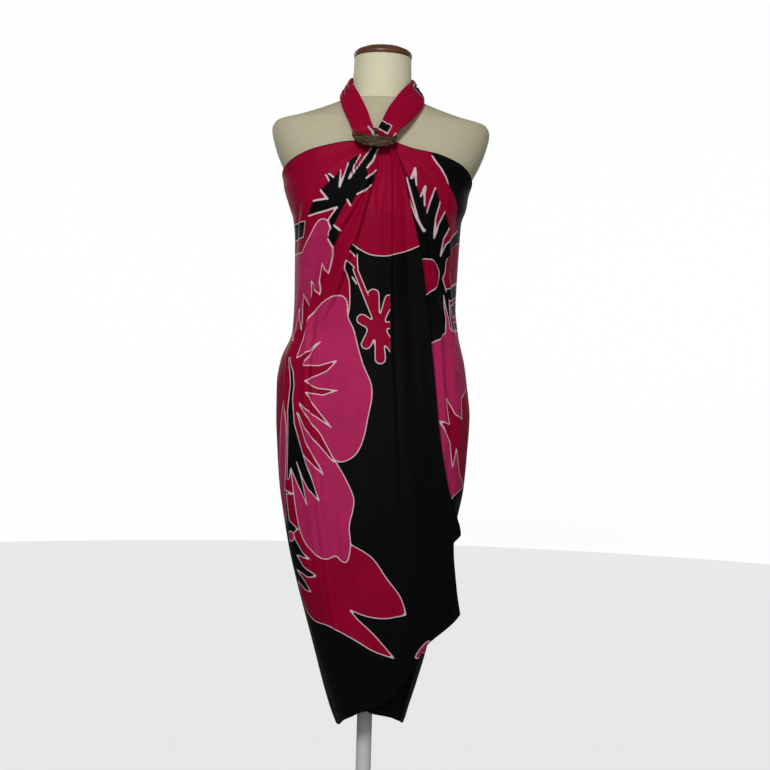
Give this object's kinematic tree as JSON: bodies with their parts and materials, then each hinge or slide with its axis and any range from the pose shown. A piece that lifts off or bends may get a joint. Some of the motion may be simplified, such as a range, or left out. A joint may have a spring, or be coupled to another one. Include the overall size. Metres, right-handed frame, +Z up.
{
  "type": "halter-tied sarong on a limbless dress form",
  "caption": "Printed rectangular sarong wrapped round a limbless dress form, gathered through a coconut shell ring and tied behind the neck, on a plain pole and round base.",
  "frame": {"origin": "on the floor under the middle of the stand, at the middle of the bounding box's underside", "axes": "+Z up, the wearer faces -Y, +X to the wearer's left"},
  "size_m": [0.4014, 0.32, 1.5273],
  "materials": {
    "sarong_cloth": "smooth printed rayon, low sheen",
    "coconut_shell": "rough polished shell",
    "form_skin": "smooth stretched cover",
    "cap_wood": "varnished",
    "stand_metal": "satin powder coat"
  },
  "bodies": {
    "root": {"cloth_back": "sarong_cloth", "cloth_front_under": "sarong_cloth", "cloth_front_over": "sarong_cloth", "strap_left": "sarong_cloth", "strap_right": "sarong_cloth", "nape_knot": "sarong_cloth", "tie_end_left": "sarong_cloth", "tie_end_right": "sarong_cloth", "coconut_ring": "coconut_shell", "form_torso": "form_skin", "form_neck_cap": "cap_wood", "form_pole": "stand_metal", "form_base": "stand_metal"}
  },
  "joints": []
}
